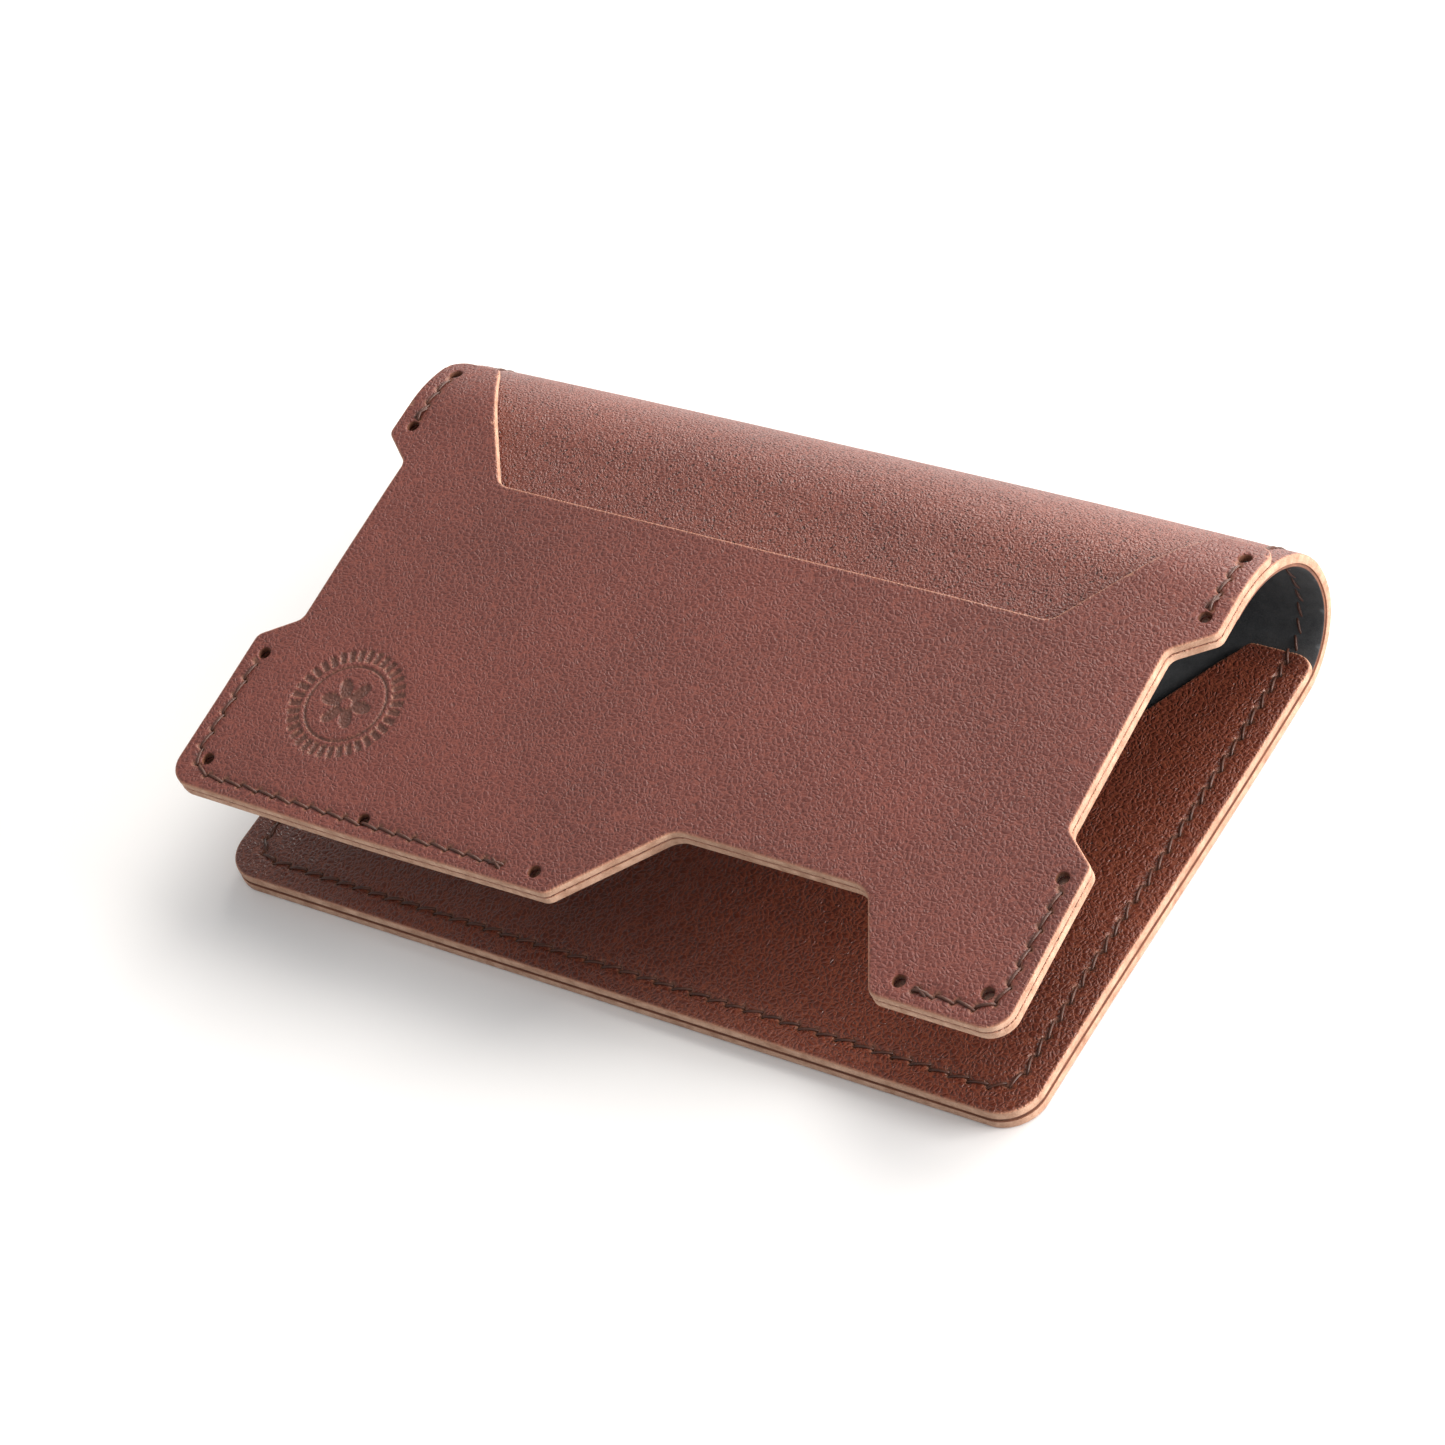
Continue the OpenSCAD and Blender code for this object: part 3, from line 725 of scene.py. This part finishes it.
# %% [markdown]
# ## The cover
# The cover's outline is mirrored neither left to right nor front to rear: the
# front panel has a notch on each side for the fingers and a thumb cut-out
# that is right of the middle.  The round holes are punched through cover and
# pocket together.

# %% Cover
NOTCH = [(HALF_W, 20.2, 1.3), (HALF_W - 4.3, 23.6, 1.6), (HALF_W - 4.3, 46.6, 1.6), (HALF_W, 50.0, 1.3)]
FREE_EDGE = [(-HALF_W, 0, 3), (-1.8, 0, 1.4), (8.6, 11.2, 3), (32.5, 11.2, 3), (38.5, 0, 1.4), (HALF_W, 0, 3)]


def mirrored(corners):
    """The same corners on the left, in the opposite order."""
    return [(-x, s, r) for x, s, r in reversed(corners)]


GRAIN_RIM, FLESH_RIM = (0.13, 0.3), (0.06, 0.13)
REAR_CORNER = 4.5
hole_loops = [circle(x, s, PUNCH_R) for x, s in punched]
rear_corners = [(HALF_W, S_END, REAR_CORNER), (-HALF_W, S_END, REAR_CORNER)]
cover_loops = [rounded(FREE_EDGE + NOTCH + rear_corners + mirrored(NOTCH))]
cover_cut = cut_piece(cover_loops + hole_loops, splits=SPLITS, fine=[seam_band(rear_seam, 0.9, 0.3)])
p, d = cover_cut["p"], cover_cut["d"]
cover_outer = -rim_drop(d, 0.12, 0.26) - dent(p, rear_seam) - 0.02 * (1 + soft_noise(p, 9, 0.4)) / 2
cover_inner = -COVER_T + rim_drop(d, *FLESH_RIM)
zones = zone_of(p[cover_cut["t"]].mean(1)[:, 1])
COVER_NAMES = ["cover_front"] + [f"cover_bend_{k}" for k in range(1, 7)] + ["cover_rear"]
COVER_NODES = ["front_cover"] + [f"spine_cover_{min(k, 5)}" for k in range(1, 7)] + ["rear_cover"]
for zone, name in enumerate(COVER_NAMES):
    piece = solid_piece(name, cover_cut, zones == zone, cover_outer, cover_inner,
                        [cover_leather, raw_cut, flesh_side, hole_shade_and_dark_edge], pressed=0.8 * slits(rear_seam)(p))
    join(piece, zone, "cover_leather", COVER_NODES[zone])
print("cover triangles per face:", len(cover_cut["t"]))

# %% [markdown]
# ## The lining
# The lining is glued to the cover's flesh side before sewing.  It reaches the
# edges on the rear panel and the bend, where it shows as a dark line between
# two pale ones, and stops short of them under the front panel.

# %% Lining
SET_BACK = 0.14
inner_x, edge_x = HALF_W - 6.0, HALF_W - SET_BACK
LINING = [(-inner_x, 4, 3), (-5.8, 4, 3), (5.6, 15.2, 3), (35.5, 15.2, 3), (42.0, 4, 3), (inner_x, 4, 3),
          (inner_x, 52.0, 1), (edge_x, 53.7, 0.5), (edge_x, S_END - SET_BACK, 4.4),
          (-edge_x, S_END - SET_BACK, 4.4), (-edge_x, 53.7, 0.5), (-inner_x, 52.0, 1)]
ear_holes = [circle(x, s, PUNCH_R) for x, s in punched if s > 55]
lining_cut = cut_piece([rounded(LINING)] + ear_holes, splits=SPLITS, coarse=(1.8, 1.6), rim=(0.1, 0.3))
p, d = lining_cut["p"], lining_cut["d"]
lining_outer = np.full(len(p), -COVER_T - 0.01)
lining_inner = -COVER_T - LINING_T + 0.06 * np.exp(-(d / 0.2) ** 2) + 0.01 * soft_noise(p, 6, 1.3)
zones = zone_of(p[lining_cut["t"]].mean(1)[:, 1])
LINING_NAMES = ["lining_front"] + [f"lining_bend_{k}" for k in range(1, 7)] + ["lining_rear"]
LINING_NODES = ["front_lining"] + [f"spine_lining_{min(k, 5)}" for k in range(1, 7)] + ["rear_lining"]
for zone, name in enumerate(LINING_NAMES):
    piece = solid_piece(name, lining_cut, zones == zone, lining_outer, lining_inner,
                        [lining_felt, hole_shade_and_dark_edge, lining_felt, hole_shade_and_dark_edge], bulge=0.0)
    join(piece, zone, "lining", LINING_NODES[zone])

# %% [markdown]
# ## The front pocket
# It lies on the outer face of the front panel, with the same edge and notches.
# Its window is open towards the spine, so two ears are left, which bend
# with the cover.  Between pocket and cover is the card slot, kept about a
# tenth of a millimetre open.

# %% Front pocket
SLOT = 0.12
WINDOW = 46.6
EAR = [(HALF_W, EAR_END, 2.4), (47.6, EAR_END, 0.9), (36.0, WINDOW, 2.2)]
front_loops = [rounded(FREE_EDGE + NOTCH + EAR + mirrored(EAR) + mirrored(NOTCH))]
disc = bricks(STAMP - DISC_R, STAMP + DISC_R, 0.17, 0.15)
disc = disc[np.hypot(*(disc - STAMP).T) < DISC_R - 0.2]
fine = [(disc, lambda q: np.hypot(*(q - STAMP).T) < DISC_R)]
fine += [seam_band(holes) for holes in front_seams.values()]
pocket_cut = cut_piece(front_loops + hole_loops, splits=SPLITS[:2], fine=fine)
p, d = pocket_cut["p"], pocket_cut["d"]
pull = sum(dent(p, holes) for holes in front_seams.values())
pocket_outer = POCKET_T - rim_drop(d, *GRAIN_RIM) - pull - stamp_depth(p) + 0.03 * soft_noise(p, 14, 2.2)
pocket_inner = SLOT + rim_drop(d, *FLESH_RIM)
# Painted shade: the awl-slit part of this mask darkens the leather to stand in for shade in the slits; the
# stamp part is the real darkening of a hot stamp.
pressed = (sum(0.9 * slits(holes)(p) for holes in front_seams.values())
           + 0.95 * ease((stamp_depth(p) - 0.06) / 0.13))
zones = zone_of(p[pocket_cut["t"]].mean(1)[:, 1])
TIPS = ["ear_tip_left", "ear_tip_right"]
POCKET_NODES = [["front_pocket"], TIPS, TIPS]
for zone, name in enumerate(["front_pocket_panel", "front_pocket_ears", "front_pocket_ear_tips"]):
    piece = solid_piece(name, pocket_cut, zones == zone, pocket_outer, pocket_inner,
                        [pocket_leather, raw_cut, flesh_side, hole_shade_and_dark_edge], pressed=np.clip(pressed, 0, 1))
    join(piece, zone, "front_pocket_leather", *POCKET_NODES[zone])
print("front pocket triangles per face:", len(pocket_cut["t"]))

# %% [markdown]
# ## The rear pocket
# It is sewn to the rear panel along three sides, grain side up.  Its ears
# reach a little way into the bend, and their tips are sewn down there, so the
# tips are a piece of their own, divided where the cover below them is divided.

# %% Rear pocket
POCKET_BASE = COVER_T + LINING_T
LOW_EAR_END = S_REAR - 3.8
REAR_EAR = [(HALF_W, LOW_EAR_END, 2.2), (46.2, LOW_EAR_END, 1.2), (36.0, S_END - WINDOW, 2.2)]
rear_loop = rounded(REAR_EAR + mirrored(REAR_EAR) + rear_corners[::-1])
rear_cut = cut_piece([rear_loop], splits=SPLITS[-1:], fine=[seam_band(rear_seam)])
p, d = rear_cut["p"], rear_cut["d"]
rear_under = np.full(len(p), -POCKET_BASE - 0.01) - rim_drop(d, *FLESH_RIM)
rear_top = (-POCKET_BASE - POCKET_T + rim_drop(d, *GRAIN_RIM) + dent(p, rear_seam)
            + 0.03 * soft_noise(p, 12, 0.9))
zones = zone_of(p[rear_cut["t"]].mean(1)[:, 1])
for zone, name in ((len(SPLITS), "rear_pocket_panel"), (len(SPLITS) - 1, "rear_pocket_ear_tips")):
    piece = solid_piece(name, rear_cut, zones == zone, rear_under, rear_top,
                        [flesh_side, raw_cut, rear_leather, raw_cut], pressed=0.9 * slits(rear_seam)(p))
    join(piece, zone, "rear_pocket_leather", "rear_pocket")

# %% [markdown]
# ## The stitches
# Every bar of thread is the same tube: a ring of points carried along a low
# arch from one pricked hole to the next, with its ends below the leather.  All
# bars of a seam are computed as one array.  The front seams end in a
# back-tack: two more bars, crossed over the last stitch.

# %% Stitches
THREAD_R = 0.19
END_DIP = 0.42


def thread_bars(name, start, end, base, way, lift=-0.04, skew=0.4):
    """Bars from start to end points (x, s). base is the leather's height and way, 1 or -1, the side
    that the thread is on. At t from 0 to 1 along a bar its centre is at height
    base + way * (lift - END_DIP * (1 - sin(pi t) ^ 0.6)), and it slants by about half of skew (mm)
    to each side, no two bars quite alike."""
    t = np.array([0, 0.1, 0.28, 0.5, 0.72, 0.9, 1])
    own = np.arange(len(start))[:, None]
    slant = skew * (1 + 0.3 * np.sin(own * 2.9 + 1)) * (t - 0.5) + 0.05 * np.sin(own * 4.7)
    around = np.arange(8) * np.pi / 4
    way, base = (np.broadcast_to(value, len(start))[:, None, None] for value in (way, base))
    run = (end - start)[:, None]
    across = unit(run)[..., ::-1] * (1, -1)
    arch = np.sin(np.pi * t)[:, None] ** 0.6
    thick = THREAD_R * (0.72 + 0.28 * arch)
    centre = start[:, None] + run * (1.10 * t - 0.05)[:, None] + across * slant[..., None]
    ring = centre[:, :, None] + across[:, :, None] * (thick * np.cos(around))[..., None]
    n = base + way * (lift - END_DIP * (1 - arch) + 0.85 * thick * np.sin(around))
    count, rows, cols = n.shape
    twist = np.broadcast_to(t[:, None] * 2 + around / np.pi, n.shape)
    bar = np.concatenate([ring, n[..., None]], axis=-1).reshape(count, rows * cols, 3)
    cap_n = np.broadcast_to(base + way * (lift - END_DIP), (count, 2, 1))
    caps = np.concatenate([centre[:, [0, -1]], cap_n], axis=-1)
    points = np.concatenate([bar, caps], axis=1)
    i, j = np.meshgrid(np.arange(rows - 1), np.arange(cols), indexing="ij")
    k = (j + 1) % cols
    quads = np.stack([i * cols + j, i * cols + k, (i + 1) * cols + k, (i + 1) * cols + j], axis=-1)
    quads = quads.reshape(-1, 4)
    j = np.arange(cols)
    k = (j + 1) % cols
    first = np.stack([np.full(cols, rows * cols), k, j], axis=1)
    last = np.stack([np.full(cols, rows * cols + 1), (rows - 1) * cols + j, (rows - 1) * cols + k], axis=1)
    faces = []
    for m, face_way in enumerate(np.broadcast_to(way[:, 0, 0], count)):
        turned = slice(None, None, 1 if face_way > 0 else -1)
        for block in (quads, first, last):
            faces += (block[:, turned] + m * points.shape[1]).tolist()
    flat = points.reshape(-1, 3)
    pattern = np.concatenate([twist.reshape(count, -1), np.zeros((count, 2))], axis=1).ravel()
    place_of = np.column_stack([flat[:, 0] + pattern * 0.12, flat[:, 1], flat[:, 2]])
    return make_mesh(name, place(*flat.T), faces, [linen_thread], np.zeros(len(faces)), place_of)


def clear_of_holes(start, end):
    """Whether the middle of each stitch is on leather rather than over a punched hole."""
    return reach((start + end) / 2, punched, punched) > PUNCH_R + 0.12


TACK_N = POCKET_T + 0.16


def back_tack(at, u):
    """Start and end points of two bars crossed over the end of a seam, which runs along u."""
    v = np.array([-u[1], u[0]])
    return (np.array([at - 0.3 * u + 0.28 * v, at - 0.3 * u - 0.28 * v]),
            np.array([at + 1.5 * u - 0.30 * v, at + 1.5 * u + 0.30 * v]))


for name in ("left", "right"):
    holes = front_seams[name]
    start, end = holes[:-1], holes[1:]
    keep = clear_of_holes(start, end)
    tack = back_tack(holes[-1], unit(holes[-2] - holes[-1]))
    s0, e0 = np.concatenate([start[keep], tack[0]]), np.concatenate([end[keep], tack[1]])
    over = np.concatenate([np.full(keep.sum(), POCKET_T), np.full(2, TACK_N)])
    bars = thread_bars(f"stitches_front_{name}", s0, e0, over, 1)
    join(bars, 0, "thread", f"front_seam_{name}_side")
    under = thread_bars(f"stitches_under_{name}", start[keep], end[keep], -COVER_T, -1, lift=0.0)
    join(under, 0, "thread")
for name in ("left", "right"):
    holes = front_seams["ear_" + name]
    start, end = holes[:-1], holes[1:]
    tack = back_tack(holes[0], unit(holes[1] - holes[0]))
    s0, e0 = np.concatenate([start, tack[0]]), np.concatenate([end, tack[1]])
    over = np.concatenate([np.full(len(start), POCKET_T), np.full(2, TACK_N)])
    zone = zone_of(((s0 + e0) / 2)[:, 1])
    for k in np.unique(zone):
        bars = thread_bars(f"stitches_ear_{name}_{k}", s0[zone == k], e0[zone == k], over[zone == k], 1)
        join(bars, k, "thread", f"ear_seam_{name}")

start, end = rear_seam[:-1], rear_seam[1:]
middle = (start + end) / 2
zone = zone_of(middle[:, 1])
for k in range(1, len(SPLITS) + 1):
    pick = (zone == k) & clear_of_holes(start, end)
    a, b, at = start[pick], end[pick], middle[pick]
    inner_face = np.where(at[:, 1] > LOW_EAR_END, -POCKET_BASE - POCKET_T, -POCKET_BASE)
    under_ear = at[:, 1] < EAR_END + 0.8
    out = ~under_ear
    both = [np.concatenate([a, a[out]]), np.concatenate([b, b[out]]),
            np.concatenate([inner_face, np.zeros(out.sum())]),
            np.concatenate([np.full(len(a), -1), np.full(out.sum(), 1)])]
    proud = np.where(at[:, 1] > LOW_EAR_END, -0.02, 0.10)
    lift = np.concatenate([proud, np.where(at[out, 1] > S_MID, -0.24, -0.02)])[:, None, None]
    node = f"spine_seam_{min(k, 5)}" if k < len(SPLITS) else "rear_seam"
    bars = thread_bars(f"stitches_rear_{k}", *both, lift=lift, skew=0.7)
    join(bars, k, "thread", node)

# %% [markdown]
# ## Floor and light
# The holder lies on plain white card that is lit from all round.  Three large
# soft lights shape it: one high behind, one low behind, which gives the spine
# its sheen, and one low on the right, which brightens the right-hand cuts.
# They leave a faint shadow towards the near left.

# %% Floor and light
def floor_card(size, z):
    """A square white floor, size mm wide, at height z."""
    t = np.array([(-1, -1), (1, -1), (1, 1), (-1, 1)]) * size / 2
    material = bpy.data.materials.new("white_card")
    material.use_nodes = True
    shader = material.node_tree.nodes["Principled BSDF"]
    shader.inputs["Base Color"].default_value = shade("#F4F4F4")
    shader.inputs["Roughness"].default_value = 0.9
    return make_mesh("floor", np.column_stack([t, np.full(4, z)]), [[0, 1, 2, 3]], [material], [0])


def soft_light(name, place_mm, target_mm, size, power, color="#FFFFFF"):
    """A square area light that faces its target."""
    data = bpy.data.lights.new(name, "AREA")
    data.size, data.energy, data.color = size * MM, power, shade(color)[:3]
    lamp = bpy.data.objects.new(name, data)
    lamp.location = Vector(place_mm) * MM
    sight = Vector(np.subtract(target_mm, place_mm).tolist())
    lamp.rotation_euler = sight.to_track_quat("-Z", "Y").to_euler()
    bpy.context.scene.collection.objects.link(lamp)


floor_card(4000, -0.05)
soft_light("window_light", (160, 420, 560), (0, 0, 10), 480, 3.3, "#FFF9F2")
soft_light("wall_behind", (-60, 810, 220), (0, 0, 20), 560, 6.5, "#FFF6EE")
soft_light("wall_right", (700, 240, 165), (0, 0, 10), 420, 11.5, "#FFFAF6")
world = bpy.data.worlds.new("studio")
world.use_nodes = True
world.node_tree.nodes["Background"].inputs["Color"].default_value = shade("#FFFFFF")
world.node_tree.nodes["Background"].inputs["Strength"].default_value = 0.62
bpy.context.scene.world = world
bpy.context.scene.view_settings.view_transform = "Standard"

# %% Final update
bpy.context.view_layer.update()
